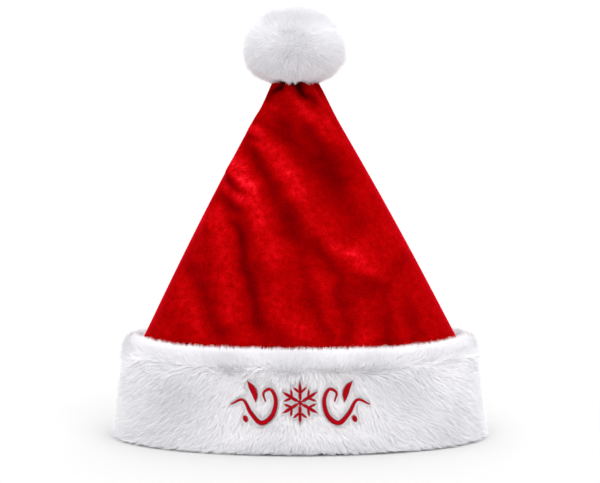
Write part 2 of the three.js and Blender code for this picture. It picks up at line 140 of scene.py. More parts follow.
PLUSH_WAVES = 0.0003  # how deep the plush is uneven
PLUSH_RIPPLES = 0.0001  # the same for what is finer
PLAIN_LAY = 0.447  # how light the pile lies on the plain cone
SLOPE_PAINTED_LIGHT = 0.3  # painted light: how much lighter the plush is painted where a fold's face looks up
CONE_SLOPE = 0.3  # how far the plain cone's face looks up
PAINTED_BAND_STRAY = 0.0014  # how far the bands of painted highlight and shade stray from their line
PAINTED_BAND_STRAY_SIZE = 0.008  # from one such bend to the next
PARTING_STRAY = 0.0025  # how far the fur's parting under the roll strays
PARTING_REACH = 0.006  # half its width
ROOT_ANGLES = (60, 72)  # degrees that a strand's lower half rises, away from the parting and in it
TIP_ANGLES = (31, 50)  # the same for its upper half
EVEN_STEPS = (0.7548776662, 0.5698402909)  # they spread places evenly over a square
STRIP = 0.004  # half the width of a strand's strip in the strand map
FLOOR_GAP = 0.0005  # from the floor to the fur's longest ends
BACKING_FOOT = 0.0015  # the same to the under-fur

CROWN_COLUMNS = 240
CROWN_ROWS = 144
LINING_ROWS = 24
BACKING_COLUMNS = 240
BACKING_ROWS = 36
CORE_COLUMNS = 48
CORE_ROWS = 22
PROFILE_POINTS = 241

# Shape tables

# Folds of the plush, and after them its small puckers. side is -1 for the front and 1 for the back. A fold
# runs from one place to another: across is how far aside of the middle it lies, and up how far above the
# seam. These are in percent of half the crown's width at the seam and of the height above the seam. wide and
# deep are in percent of the same half width, and deep is negative for a valley.
Fold = namedtuple("Fold", "side across0 up0 across1 up1 wide deep")
FOLDS = [Fold(side, *(number / 100 for number in numbers)) for side, *numbers in (
    (-1, -27, 81, 0, 56, 8.8, 3.4),
    (-1, 0, 56, 42, 27, 10, 3.4),
    (-1, -30, 76, -6, 40, 8.8, -3),
    (-1, -6, 40, 4, 10, 10, -2.6),
    (-1, -40, 68, -16, 32, 8.8, 3.2),
    (-1, -16, 32, -10, 6, 10, 2.6),
    (-1, -45, 54, -28, 6, 8.8, -3.6),
    (-1, -54, 46, -44, 10, 8.8, 2.6),
    (-1, -70, 24, -60, 4, 8.8, -2.4),
    (-1, 2, 78, 32, 42, 16.3, -4.4),
    (-1, 14, 86, 62, 36, 10, 2.6),
    (-1, 12, 36, 34, 5, 10, -3.6),
    (-1, 22, 22, 30, 2, 7.5, 2),
    (-1, 60, 20, 72, 2, 10, -2.6),
    (1, 20, 80, -10, 42, 12.5, 3.6),
    (1, -10, 42, -30, 10, 12.5, 3),
    (1, -12, 74, -44, 20, 11.2, -3.6),
    (1, 30, 60, 16, 12, 12.5, -4),
    (1, 42, 50, 50, 8, 11.2, 3.2),
    (1, -60, 30, -68, 4, 10, 2.6),
    (1, 70, 26, 74, 4, 8.8, -2.6),
    (-1, -42, 66, -30, 60, 2.6, 1.2),
    (-1, -46, 62, -33, 57, 2.2, -1.2),
    (-1, -48, 58, -36, 53, 2.4, 1.1),
    (-1, -51, 54, -40, 50, 2.4, -1),
    (-1, -24, 87, -13, 83, 2.4, 1),
    (-1, -30, 79, -20, 77, 2.2, -1),
    (-1, -56, 46, -47, 40, 2.6, 0.9),
    (-1, 10, 90, 20, 80, 2.4, -1),
    (-1, 68, 30, 60, 24, 3, -0.4),
    (1, 30, 78, 20, 70, 2.6, 1),
    (1, 42, 62, 30, 55, 2.6, -1),
    (1, -50, 50, -38, 44, 2.6, 0.9),
)]

PAINTED_BAND_STRENGTH = 0.56  # how strongly the painted highlight and shade of the bands below show

# Painted highlight and shade on the plush. A band, lighter along a fold's ridge or darker in a fold's valley
# and in the gathers under the tip, runs through its spots. Each row is a band's side and then its spots:
# across and up as for the folds, wide in percent of half the crown's width, and tone, which is how much
# lighter or darker the plush is painted there, in percent too.
Band = namedtuple("Band", "side spots")
Spot = namedtuple("Spot", "across up wide tone")
PAINTED_LIGHT_BANDS = [Band(side, [Spot(*(number / 100 for number in spot)) for spot in spots]) for side, *spots in (
    (-1, (-26, 82, 4, 30), (-12, 72, 5.5, 30), (0, 60, 5.5, 24), (5, 49, 5, 26), (17, 41, 5.5, 38),
     (36, 32, 4.5, 34), (62, 22, 5, 10)),
    (-1, (-39, 69, 4.5, 46), (-30, 61, 5.5, 46), (-24, 50, 6, 30), (-18, 34, 6.5, 20), (-15, 15, 7, 16),
     (4, 4, 6, 18)),
    (-1, (-47, 60, 3.5, 30), (-36, 56, 3.5, 40)),
    (-1, (-49, 46, 5, 12), (-44, 26, 5, 16), (-41, 5, 5, 12)),
    (-1, (-74, 22, 5, 10), (-62, 8, 6, 14)),
    (-1, (-4, 96, 3, 24), (8, 89, 4, 26), (18, 84, 5, 30)),
    (-1, (-24, 93, 2, 26), (-14, 91.5, 2, 20)),
    (-1, (45, 44, 9, 0), (62, 29, 9, 6)),
    (-1, (13, 26, 3.5, 10), (22, 3, 4, 14)),
    (-1, (38, 20, 3.5, 6), (42, 3, 4, 12)),
    (-1, (-7, 102, 2, -130), (-8, 97.5, 2, -90), (-16, 94.5, 2.6, -30)),
    (-1, (0, 102, 2, -120), (4, 96.5, 2.2, -80), (12, 92, 3, -40)),
    (-1, (-44, 53, 3.5, -30), (-36, 42, 3.4, -46), (-32, 28, 3.6, -44), (-26, 10, 4.6, -36),
     (-24, 3, 4, -20)),
    (-1, (-26, 86, 4, -30), (-12, 85, 5.5, -34), (0, 75, 6, -38), (12, 66, 8, -34), (24, 58, 9, -30),
     (36, 46, 7, -16)),
    (-1, (10, 82, 6, -26), (28, 64, 8, -34)),
    (-1, (-32, 78, 3.5, -26), (-22, 66, 4, -36), (-10, 50, 5, -16), (2, 35, 6, -26), (8, 20, 5, -24),
     (17, 4, 4, -28)),
    (-1, (12, 36, 3.5, -26), (24, 26, 4.5, -34), (31, 5, 4.5, -30)),
    (-1, (-68, 29, 6, -20), (-57, 18, 5, -26), (-50, 6, 5, -16)),
    (-1, (34, 28, 2.5, -14), (54, 22, 3, -22), (55, 3, 5.5, -34)),
    (-1, (66, 18, 4, -20), (74, 3, 5.5, -32)),
    (-1, (-47, 64, 2.5, -34), (-40, 64, 2.5, -20)),
    (-1, (-86, 10, 5, -14), (-74, 5, 5, -10)),
    (1, (24, 82, 5, 30), (4, 60, 6, 28), (-12, 40, 6, 32), (-34, 10, 6, 20)),
    (1, (42, 56, 6, 34), (44, 30, 6, 20), (52, 5, 7, 16)),
    (1, (-62, 30, 6, 24), (-68, 4, 6, 14)),
    (1, (-4, 84, 5, -32), (-24, 56, 6, -36), (-46, 18, 6, -30)),
    (1, (32, 64, 5, -34), (20, 34, 6, -38), (16, 8, 5, -28)),
    (1, (70, 28, 5, -24), (74, 4, 5, -20)),
)]

CREASE = 0.78  # height of the crease under the roll, as a share of the cuff's height

# The outer form of the cuff's fur from its foot over the roll to the seam. out is a share of the cuff's
# thickness and up of its height.
Station = namedtuple("Station", "out up")
CUFF_PROFILE = [Station(*row) for row in (
    (0.9, 0.0), (0.96, 0.014), (0.985, 0.06), (1.0, 0.16), (1.0, 0.4), (0.99, 0.62), (0.96, 0.74),
    (1.0, 0.81), (0.97, 0.88), (0.83, 0.94), (0.6, 0.97), (0.36, 0.97), (0.14, 0.945), (0.05, 0.9),
)]

# Shallow dents in the cuff. around is in degrees from the front, positive towards +X, and so is broad. up and
# tall are shares of the cuff's height, and deep is a share of its thickness.
Dent = namedtuple("Dent", "around up broad tall deep")
DENTS = [
    Dent(-27, 0.62, 9, 0.3, 0.1),
    Dent(-48, 0.5, 8, 0.22, 0.07),
    Dent(13, 0.68, 7, 0.16, 0.05),
    Dent(37, 0.6, 11, 0.26, 0.1),
    Dent(104, 0.5, 14, 0.3, 0.08),
    Dent(160, 0.55, 12, 0.3, 0.09),
    Dent(214, 0.45, 13, 0.26, 0.08),
    Dent(262, 0.6, 12, 0.3, 0.07),
]

# Strokes of the embroidery on the +X side. across is a share of half the motif's width and up of half its
# height.
Place = namedtuple("Place", "across up")
SCROLL_PATH = [Place(*row) for row in (
    (0.5, 0.04), (0.53, 0.36), (0.43, 0.5), (0.35, 0.12), (0.4, -0.5), (0.55, -0.78), (0.7, -0.42),
    (0.83, 0.08), (1.0, -0.1),
)]
LEAF_PATH = [Place(0.64, 0.0), Place(0.67, 0.42), Place(0.77, 0.78)]
DOT_PLACE = Place(0.78, -0.62)

# Camera, light and floor

CAMERA_PLACE = Vector((0, -1.5, 0.27))
CAMERA_AIM = Vector((0, 0, 0.147))
CAMERA_LENS = 120
CAMERA_SENSOR = 36
WALL_TONE = 1.05  # the white walls as the camera sees them
ROOM_LIGHT = 0.96  # the light that they give
SPREAD = 70  # degrees that a soft light is spread over
FLOOR_TONE = (0.69, 0.69, 0.69, 1)
FLOOR_REACH = 12

# way is where a light comes from
Light = namedtuple("Light", "name strength way")
LIGHTS = [
    Light("soft_front", 1.75, (0.1, -0.75, 1.0)),
    Light("soft_back", 0.55, (0.1, 0.9, 0.8)),
]


def stand(name, data):
    """A new object in the scene"""
    made = bpy.data.objects.new(name, data)
    bpy.context.collection.objects.link(made)
    return made


def looking(way):
    return way.to_track_quat("-Z", "Y").to_euler()


def make_camera():
    camera = stand("camera", bpy.data.cameras.new("camera"))
    camera.data.sensor_width = CAMERA_SENSOR
    camera.data.lens = CAMERA_LENS
    camera.location = CAMERA_PLACE
    camera.rotation_euler = looking(CAMERA_AIM - CAMERA_PLACE)
    bpy.context.scene.camera = camera


def make_studio():
    """A room with white walls and soft lights above, and a pale floor that looks as bright as the walls"""
    scene = bpy.context.scene
    scene.view_settings.view_transform = "Standard"
    world = bpy.data.worlds.new("white_room")
    world.use_nodes = True
    room = Nodes(world.node_tree, "Background")
    room.shader.inputs["Color"].default_value = (1, 1, 1, 1)
    seen = room.add("ShaderNodeLightPath", output="Is Camera Ray")
    tones = {"Value": seen, "To Min": ROOM_LIGHT, "To Max": WALL_TONE}
    room.feed("Strength", room.add("ShaderNodeMapRange", inputs=tones))
    scene.world = world
    for light in LIGHTS:
        sun = bpy.data.lights.new(light.name, "SUN")
        sun.energy = light.strength
        sun.angle = math.radians(SPREAD)
        stand(light.name, sun).rotation_euler = looking(-Vector(light.way))

    mesh = bpy.data.meshes.new("floor")
    corners = [(x * FLOOR_REACH, y * FLOOR_REACH, 0) for x, y in ((-1, -1), (1, -1), (1, 1), (-1, 1))]
    mesh.from_pydata(corners, [], [(0, 1, 2, 3)])
    floor = stand("floor", mesh)
    paper = Finish("pale_paper", {"Roughness": 1.0, "Specular IOR Level": 0.0, "Base Color": FLOOR_TONE})
    mesh.materials.append(paper.material)


# Node maths


class Value:
    """A number that varies over a surface. Arithmetic on it adds Math nodes."""

    def __init__(self, nodes, socket):
        self.nodes = nodes
        self.socket = socket

    def maths(self, operation, *terms):
        return self.nodes.add("ShaderNodeMath", {"operation": operation}, dict(enumerate(terms)))

    def __add__(self, other):
        return self.maths("ADD", self, other)

    def __sub__(self, other):
        return self.maths("SUBTRACT", self, other)

    def __rsub__(self, other):
        return self.maths("SUBTRACT", other, self)

    def __mul__(self, other):
        return self.maths("MULTIPLY", self, other)

    __radd__ = __add__
    __rmul__ = __mul__


class Nodes:
    """A node tree with its one shader"""

    def __init__(self, tree, shader):
        self.tree = tree
        self.shader = tree.nodes[shader]

    def add(self, kind, settings=None, inputs=None, output=0):
        """Adds a node with its settings made first, then its sockets' values or links. Gives an output."""
        node = self.tree.nodes.new(kind)
        for setting, value in (settings or {}).items():
            if setting == "stops":
                self.set_stops(node.color_ramp, value)
            else:
                setattr(node, setting, value)
        for socket, value in (inputs or {}).items():
            if isinstance(value, Value):
                self.tree.links.new(value.socket, node.inputs[socket])
            else:
                node.inputs[socket].default_value = value
        return Value(self, node.outputs[output])

    def set_stops(self, ramp, stops):
        while len(ramp.elements) < len(stops):
            ramp.elements.new(1)
        for element, (place, colour) in zip(ramp.elements, stops):
            element.position = place
            element.color = (*colour, 1)

    def feed(self, socket, value):
        """Links a value to the shader"""
        self.tree.links.new(value.socket, self.shader.inputs[socket])


class Finish(Nodes):
    """A material with one Principled shader. Its constants are set on the shader's own sockets."""

    def __init__(self, name, constants):
        self.material = bpy.data.materials.new(name)
        self.material.use_nodes = True
        super().__init__(self.material.node_tree, "Principled BSDF")
        for socket, value in constants.items():
            self.shader.inputs[socket].default_value = value

    def place(self):
        """Where a point lies on the hat, in metres"""
        return self.add("ShaderNodeTexCoord", output="Object")

    def noise(self, size, detail=2.0, stretch=(1, 1, 1)):
        """Soft grain from 0 to 1 with spots about size across, drawn out by stretch"""
        scale = [1 / (size * share) for share in stretch]
        vector = self.add("ShaderNodeVectorMath", {"operation": "MULTIPLY"}, {0: self.place(), 1: scale})
        return self.add("ShaderNodeTexNoise", inputs={"Vector": vector, "Scale": 1.0, "Detail": detail})

    def attribute(self, name):
        """A number kept on the mesh"""
        return self.add("ShaderNodeAttribute", {"attribute_name": name}, output="Fac")

    def ramp(self, factor, stops):
        return self.add("ShaderNodeValToRGB", {"stops": stops}, {"Fac": factor})

    def mix(self, factor, first, second):
        """Mixes two colours"""
        return self.add("ShaderNodeMix", {"data_type": "RGBA"}, {0: factor, 6: first, 7: second}, output=2)

    def bump(self, height, depth):
        """Raises the surface by depth metres where height is 1"""
        self.feed("Normal", self.add("ShaderNodeBump", inputs={"Height": height, "Distance": depth}))


# Finishes

STRAND_MAP = "OFBake"  # across it runs from one strand's tone to the next, and up it from root to tip


def velvet_finish():
    """Red plush with painted highlight and shade. Its crush shows most where the painted light is brightest.
    """
    cloth = {"Roughness": 0.85, "Specular IOR Level": 0.0, "Sheen Weight": 1.0, "Sheen Roughness": 0.3}
    finish = Finish("red_velvet", {**cloth, "Sheen Tint": (1.0, 0.01, 0.03, 1)})
    grain = finish.noise(0.0013, 1)
    crush = finish.noise(0.0045, 3)
    drift = finish.noise(0.02, 2)
    lay = finish.attribute("lay")
    # The tone carries painted highlight and shade; the crush, stronger where that painted light is bright,
    # adds speckled painted highlights
    tone = lay + 0.2 * (drift - 0.5) + 1.6 * (crush - 0.5) * lay * lay
    tone += 0.42 * (grain - 0.5) * (0.4 + lay)
    stops = [
        (0.0, (0.05, 0.0, 0.0002)),
        (0.3, (0.22, 0.0, 0.0004)),
        (0.5, (0.35, 0.0004, 0.0007)),
        (0.75, (0.55, 0.002, 0.005)),
        (1.0, (0.8, 0.012, 0.024)),
    ]
    finish.feed("Base Color", finish.ramp(tone, stops))
    finish.bump(0.6 * grain + 0.4 * crush, 0.0005)
    return finish.material


def fur_finish():
    """White fur, brightest half way along and darker at the roots as painted shade, with strands of slightly
    different tones that also carry painted light and shade
    """
    finish = Finish("white_fur", {"Roughness": 0.7, "Specular IOR Level": 0.1})
    strand_map = finish.add("ShaderNodeUVMap", {"uv_map": STRAND_MAP})
    separate = "ShaderNodeSeparateXYZ"
    tone, along = (finish.add(separate, inputs={"Vector": strand_map}, output=axis) for axis in (0, 1))
    # Painted shade: darker at the roots, deep in the fur; greyer again towards the tips
    stops = [
        (0.0, (0.88, 0.865, 0.885)),
        (0.5, (0.98, 0.97, 0.985)),
        (0.75, (0.955, 0.945, 0.97)),
        (1.0, (0.85, 0.845, 0.87)),
    ]
    shade = (0.72, 0.72, 0.75, 1)
    finish.feed("Base Color", finish.mix(1 - tone, finish.ramp(along, stops), shade))
    return finish.material


def backing_finish():
    """The dense under-fur that the strands grow from"""
    finish = Finish("white_underfur", {"Roughness": 0.9, "Sheen Weight": 0.3})
    down = finish.noise(0.0012, 3, (1, 1, 2.5))
    finish.feed("Base Color", finish.mix(down, (0.86, 0.855, 0.885, 1), (0.95, 0.94, 0.965, 1)))
    finish.bump(down, 0.0012)
    return finish.material


def thread_finish():
    """Rayon thread, silky along the stitches"""
    shine = {"Roughness": 0.4, "Specular IOR Level": 0.5, "Specular Tint": (1.0, 0.04, 0.08, 1)}
    finish = Finish("red_satin_thread", shine)
    twist = finish.noise(0.0009, 2)
    patch = finish.noise(0.005, 2)
    stops = [
        (0.0, (0.04, 0.0, 0.001)),
        (0.4, (0.22, 0.0, 0.002)),
        (1.0, (0.62, 0.001, 0.01)),
    ]
    # Painted highlight along each stroke's middle and painted shade at its edges, with the thread's own twist
    # and patches
    tone = 0.7 * finish.attribute("crown_of_stitch") + 0.35 * (twist - 0.5) + 0.2 * patch
    finish.feed("Base Color", finish.ramp(tone, stops))
    return finish.material


# Number helpers


def lerp(low, high, share):
    return low + (high - low) * share


def smoothstep(value, low, high):
    share = np.clip((value - low) / (high - low), 0, 1)
    return share * share * (3 - 2 * share)


def unit(vectors):
    """Vectors made one long"""
    return vectors / np.maximum(np.linalg.norm(vectors, axis=-1, keepdims=True), 1e-12)


def ring_angles(count):
    return np.arange(count) / count * TAU


def ripples(points, size, seed):
    """Smooth noise, mostly from -1 to 1, with bumps about size across: waves that run in all directions"""
    waves = 10
    random = np.random.default_rng(seed)
    ways = unit(random.normal(size=(waves, 3))) * TAU / (2 * size * random.uniform(0.7, 1.5, (waves, 1)))
    phases = random.uniform(0, TAU, waves)
    return np.sin(points @ ways.T + phases).sum(axis=-1) / math.sqrt(waves)


def turned(vectors, axes, angles):
    """Each vector turned about its own axis, where it lies across that axis"""
    return vectors * np.cos(angles)[:, None] + np.cross(axes, vectors) * np.sin(angles)[:, None]


# Mesh helpers


def mesh_piece(name, points, faces, material):
    """A piece from arrays: its points, and its faces as one array for each number of corners"""
    mesh = bpy.data.meshes.new(name)
    corners = np.concatenate([part.ravel() for part in faces]).astype(np.int32)
    counts = np.concatenate([np.full(len(part), part.shape[1]) for part in faces])
    starts = np.concatenate([[0], np.cumsum(counts)[:-1]]).astype(np.int32)
    mesh.vertices.add(len(points))
    mesh.vertices.foreach_set("co", points.astype(np.float32).ravel())
    mesh.loops.add(len(corners))
    mesh.loops.foreach_set("vertex_index", corners)
    mesh.polygons.add(len(counts))
    mesh.polygons.foreach_set("loop_start", starts)
    mesh.update(calc_edges=True)
    mesh.polygons.foreach_set("use_smooth", np.full(len(counts), True))
    mesh.materials.append(material)
    piece = stand(name, mesh)
    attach(piece, "root")
    return piece


def keep_on(piece, name, values):
    """Keeps a number for each point of a piece"""
    held = piece.data.attributes.new(name, "FLOAT", "POINT")
    held.data.foreach_set("value", values.astype(np.float32))


def ring_faces(rings, columns, looped=False):
    """Quads between rings of points that follow each other"""
    row = np.arange(rings if looped else rings - 1)[:, None] * columns
    column = np.arange(columns)[None, :]
    after = (row + columns) % (rings * columns)
    beside = (column + 1) % columns
    corners = np.broadcast_arrays(row + column, row + beside, after + beside, after + column)
    return np.stack(corners, axis=-1).reshape(-1, 4)


def closed_rings(rings, tips):
    """Points and faces of a solid that runs from one tip over its rings to the other"""
    count, columns = rings.shape[:2]
    points = np.concatenate([rings.reshape(-1, 3), tips])
    column = np.arange(columns)
    beside = np.roll(column, -1)
    last = (count - 1) * columns
    first_fan = [np.full(columns, len(points) - 2), beside, column]
    last_fan = [np.full(columns, len(points) - 1), last + column, last + beside]
    return points, [ring_faces(count, columns), np.stack(first_fan, axis=-1), np.stack(last_fan, axis=-1)]


# The crown


def crown_oval(height):
    """Half the crown's width and depth at a height, and how far its middle has moved across"""
    rise = np.clip((height - SEAM_HEIGHT) / CONE_RISE, 0, 1)
    bulge = CROWN_BULGE * np.sin(math.pi * rise)
    half_width = lerp(HALF_WIDTH, TIP_WIDTH / 2, rise) + bulge
    half_depth = lerp(HALF_DEPTH, TIP_DEPTH / 2, rise) + bulge
    return half_width, half_depth, -TIP_LEAN * rise


def off_line(aside, above, run):
    """How far places lie from a line that runs from 0, and how far along it, as a share, they are nearest"""
    share = np.clip((aside * run[0] + above * run[1]) / (run @ run), 0, 1)
    return np.hypot(aside - share * run[0], above - share * run[1]), share


def fold_offset(x, y, height):
    """How far the folds move the plush out of the plain cone"""
    offset = np.zeros_like(x)
    for fold in FOLDS:
        start = np.array([fold.across0 * HALF_WIDTH, SEAM_HEIGHT + fold.up0 * CONE_RISE])
        run = np.array([fold.across1 * HALF_WIDTH, SEAM_HEIGHT + fold.up1 * CONE_RISE]) - start
        away = off_line(x - start[0], height - start[1], run)[0]
        rise = fold.deep * HALF_WIDTH * np.exp(-((away / (fold.wide * HALF_WIDTH)) ** 2))
        offset += np.where(fold.side * y >= 0, rise, 0)
    return offset * smoothstep(np.abs(y) / crown_oval(height)[1], 0, 0.5)


def gather_offset(angle, height):
    near = smoothstep(height, TIP_HEIGHT - GATHER_LENGTH, TIP_HEIGHT)
    return GATHER_DEPTH * near * near * np.cos(GATHER_COUNT * angle)


def crown_points(angle, height, inset=0.0, share=1.0):
    """Points of the crown's outer face, or as far inside it as inset, drawn in to a share of its width"""
    half_width, half_depth, lean = crown_oval(height)
    x = half_width * np.cos(angle)
    y = half_depth * np.sin(angle)
    outward = unit(np.stack([x / half_width**2, y / half_depth**2], axis=-1))
    place = np.stack([x, y, height], axis=-1)
    soft = PLUSH_WAVES * ripples(place * (1, 1, 0.6), 0.014, 3) + PLUSH_RIPPLES * ripples(place, 0.005, 4)
    folds = fold_offset(x, y, height) + soft * smoothstep(np.abs(y) / half_depth, 0, 0.6)
    start = SEAM_HEIGHT - FOLDS_START
    folds = folds * smoothstep(height, start, start + FOLDS_RISE)
    move = folds + gather_offset(angle, height) - inset
    moved_x = lean + (x + outward[..., 0] * move) * share
    moved_y = (y + outward[..., 1] * move) * share
    return np.stack([moved_x, moved_y, height], axis=-1)


def make_crown(material):
    """One closed wall of plush: down its inner face to the foot, and up its outer one, closed over the tip"""
    angle = ring_angles(CROWN_COLUMNS)
    start = SEAM_HEIGHT - FOLDS_START
    inner_heights, outer_heights = (
        np.array([HEM, SEAM_HEIGHT / 2, *np.linspace(start, TIP_HEIGHT, rows)])
        for rows in (LINING_ROWS, CROWN_ROWS)
    )
    inner = crown_points(*np.meshgrid(angle, inner_heights[::-1]), inset=CLOTH)
    outer = crown_points(*np.meshgrid(angle, outer_heights))
    cap = []
    for draw, up in ((0.95, 0.4), (0.86, 0.7), (0.6, 1.0)):
        ring = crown_points(angle, np.full(CROWN_COLUMNS, TIP_HEIGHT), share=draw)
        ring[:, 2] = TIP_HEIGHT + up * TIP_CAP
        cap.append(ring)
    tips = np.array([[-TIP_LEAN, 0, TIP_TOP - CLOTH], [-TIP_LEAN, 0, TIP_TOP]])
    points, faces = closed_rings(np.concatenate([inner, outer, cap]), tips)
    piece = mesh_piece("velvet_crown", points, faces, material)
    keep_tone_and_painted_light(piece, points)
    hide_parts("crown")


def band_tone(band, across, up, rise):
    """How much lighter or darker a band makes the plush, at places given as shares. rise is up's own unit."""
    nearest = np.full_like(across, np.inf)
    tone = np.zeros_like(across)
    for start, end in zip(band.spots, band.spots[1:]):
        run = np.array([end.across - start.across, (end.up - start.up) * rise])
        away, share = off_line(across - start.across, (up - start.up) * rise, run)
        away = away / lerp(start.wide, end.wide, share)
        tone = np.where(away < nearest, lerp(start.tone, end.tone, share), tone)
        nearest = np.minimum(away, nearest)
    return tone * np.exp(-(nearest**2))


def keep_tone_and_painted_light(piece, points):
    """Keeps the plush's tone with painted light: painted highlight and shade along the bands, lighter where a
    slope looks up
    """
    normals = np.zeros(len(points) * 3, np.float32)
    piece.data.vertices.foreach_get("normal", normals)
    half_depth, lean = crown_oval(points[:, 2])[1:]
    across = (points[:, 0] - lean + PAINTED_BAND_STRAY * ripples(points, PAINTED_BAND_STRAY_SIZE, 5)) / HALF_WIDTH
    up = (points[:, 2] - SEAM_HEIGHT + PAINTED_BAND_STRAY * ripples(points, PAINTED_BAND_STRAY_SIZE, 6)) / CONE_RISE
    # Painted light and shade: lighter where a face looks further up than the plain cone, darker where it
    # looks less up
    lay = PLAIN_LAY + SLOPE_PAINTED_LIGHT * (normals[2::3] - CONE_SLOPE)
    # Painted highlight and shade along the folds' ridges and valleys, fading out towards the sides
    for band in PAINTED_LIGHT_BANDS:
        tone = band_tone(band, across, up, CONE_RISE / HALF_WIDTH)
        faces_it = (band.side * points[:, 1] > 0) * smoothstep(np.abs(points[:, 1]) / half_depth, 0.05, 0.4)
        lay += PAINTED_BAND_STRENGTH * tone * faces_it
    keep_on(piece, "lay", np.clip(lay, 0, 1))

# The cuff


def cuff_thickness(up):
    return lerp(CUFF_FOOT_THICKNESS, CUFF_TOP_THICKNESS, up / CUFF_HEIGHT)


def cuff_hollow(angle, up):
    """How deep the cuff's dents are at an angle and height"""
    around = np.degrees(angle) + 90
    hollow = np.zeros_like(up)
    for dent in DENTS:
        aside = ((around - dent.around + 180) % 360 - 180) / dent.broad
        above = (up / CUFF_HEIGHT - dent.up) / dent.tall
        hollow += dent.deep * cuff_thickness(up) * np.exp(-aside * aside - above * above)
    return hollow


def pressed_at(angle, up):
    """From 0 to 1, how much the embroidery presses the fur down"""
    across = np.abs((HALF_WIDTH + CUFF_FOOT_THICKNESS) * np.cos(angle)) - MOTIF_WIDTH / 2
    above = np.abs(up - MOTIF_RISE) - MOTIF_HEIGHT / 2
    pressed = (1 - smoothstep(across, 0, MOTIF_MARGIN)) * (1 - smoothstep(above, 0, MOTIF_MARGIN))
    pressed *= 1 - smoothstep(up, (CREASE - 0.08) * CUFF_HEIGHT, CREASE * CUFF_HEIGHT)
    return np.where(np.sin(angle) < 0, pressed, 0)


def cuff_points(angle, out, up):
    """Points at an angle round the cuff, a distance out from its inner face and a height"""
    x = (HALF_WIDTH + GAP + out) * np.cos(angle)
    y = (HALF_DEPTH + GAP + out) * np.sin(angle)
    return np.stack([x, y, up], axis=-1)


def smooth_between(values, places):
    """A Catmull-Rom line through values that lie at 0, 1, 2 and so on"""
    last = len(values) - 1
    index = np.clip(places.astype(int), 0, last - 1)
    share = places - index
    before, start, end, after = (values[np.clip(index + step, 0, last)] for step in (-1, 0, 1, 2))
    return 0.5 * (
        2 * start
        + (end - before) * share
        + (2 * before - 5 * start + 4 * end - after) * share**2
        + (3 * start - before - 3 * end + after) * share**3
    )


def profile_table():
    """The cuff's outer form as a smooth line in shares of its thickness and height, with the length so far"""
    stations = np.array(CUFF_PROFILE)
    places = np.linspace(0, len(stations) - 1, PROFILE_POINTS)
    out = smooth_between(stations[:, 0], places)
    up = np.maximum(smooth_between(stations[:, 1], places), 0)
    steps = np.hypot(np.diff(out) * CUFF_FOOT_THICKNESS, np.diff(up) * CUFF_HEIGHT)
    return out, up, np.concatenate([[0], np.cumsum(steps)])


PROFILE_OUT, PROFILE_UP, PROFILE_ALONG = profile_table()
PROFILE_LENGTH = PROFILE_ALONG[-1]
CREST = np.argmax(PROFILE_UP)
CREASE_ALONG = np.interp(CREASE, PROFILE_UP[:CREST], PROFILE_ALONG[:CREST])


def profile_at(along):
    return np.interp(along, PROFILE_ALONG, PROFILE_OUT), np.interp(along, PROFILE_ALONG, PROFILE_UP)


def fur_surface(angle, along, inset):
    """Points of the cuff's outer form, or inset below it, at a distance along its section from the foot"""
    out, up = profile_at(along)
    up = up * CUFF_HEIGHT
    up = up - ROLL_SAG * smoothstep(-np.sin(angle), 0.35, 0.85) * smoothstep(up / CUFF_HEIGHT, 0.4, 0.9)
    step = PROFILE_LENGTH / 300
    later = profile_at(np.clip(along + step, 0, PROFILE_LENGTH))
    sooner = profile_at(np.clip(along - step, 0, PROFILE_LENGTH))
    run_out = (later[0] - sooner[0]) * CUFF_FOOT_THICKNESS
    run = unit(np.stack([run_out, (later[1] - sooner[1]) * CUFF_HEIGHT], axis=-1))
    sunk = cuff_hollow(angle, up) + FUR_PRESS * pressed_at(angle, up)
    distance = out * cuff_thickness(up) - sunk * np.clip(run[..., 1], 0, 1)
    return cuff_points(angle, distance - inset * run[..., 1], up + inset * run[..., 0])


def surface_frame(angle, along, inset):
    """Points with their outward normals, the way round to the right and the way up the section"""
    turn, step = 0.004, 0.0006
    points = fur_surface(angle, along, inset)
    up_run = fur_surface(angle, along + step, inset) - fur_surface(angle, along - step, inset)
    side_run = fur_surface(angle + turn, along, inset) - fur_surface(angle - turn, along, inset)
    aside = unit(side_run)
    normal = unit(np.cross(side_run, up_run))
    return points, normal, aside, np.cross(normal, aside)


def angle_by_arc(share):
    """Angles that are evenly spaced along the oval, from shares of the way round"""
    fine = np.linspace(0, TAU, 4 * 360 + 1)
    ring = cuff_points(fine, np.full(fine.shape, CUFF_TOP_THICKNESS), np.zeros(fine.shape))
    arc = np.concatenate([[0], np.cumsum(np.linalg.norm(np.diff(ring, axis=0), axis=1))])
    return np.interp(share * arc[-1], arc, fine)


def rolled_at(along):
    """From 0 below the crease under the roll to 1 on the roll"""
    return smoothstep(along, CREASE_ALONG - 0.004, CREASE_ALONG + 0.008)


def parted_at(along, points):
    """From 0 where the fur lies down to 1 where it lies up, over an uneven parting below the roll"""
    parting = CREASE_ALONG + PARTING_STRAY * ripples(points, 0.012, 14)
    return smoothstep(along, parting - PARTING_REACH, parting + PARTING_REACH)


def fur_inset(along):
    """How far the strands' roots lie below the fur's outer form"""
    return lerp(FUR_DEPTH, ROLL_FUR_DEPTH, rolled_at(along))


Hairs = namedtuple("Hairs", "roots bends tips normals random")


def combed(angle, rolled, parted, points, normal, aside, upward, random):
    """Which way the fur is combed at each place, lying in the surface"""
    around = np.mod(np.degrees(angle) + 90 + 180, 360) - 180
    sweep = np.tanh(around / 30) * smoothstep(180 - np.abs(around), 0, 25)
    across = 0.8 * sweep * (1 - 0.5 * rolled)
    way = unit(aside * across[:, None] + upward * lerp(-1.0, 1.0, parted)[:, None])
    swirl = 0.24 * ripples(points, 0.026, 11) + 0.12 * ripples(points, 0.009, 12)
    return turned(way, normal, swirl + random.normal(0, 0.3, len(points)))


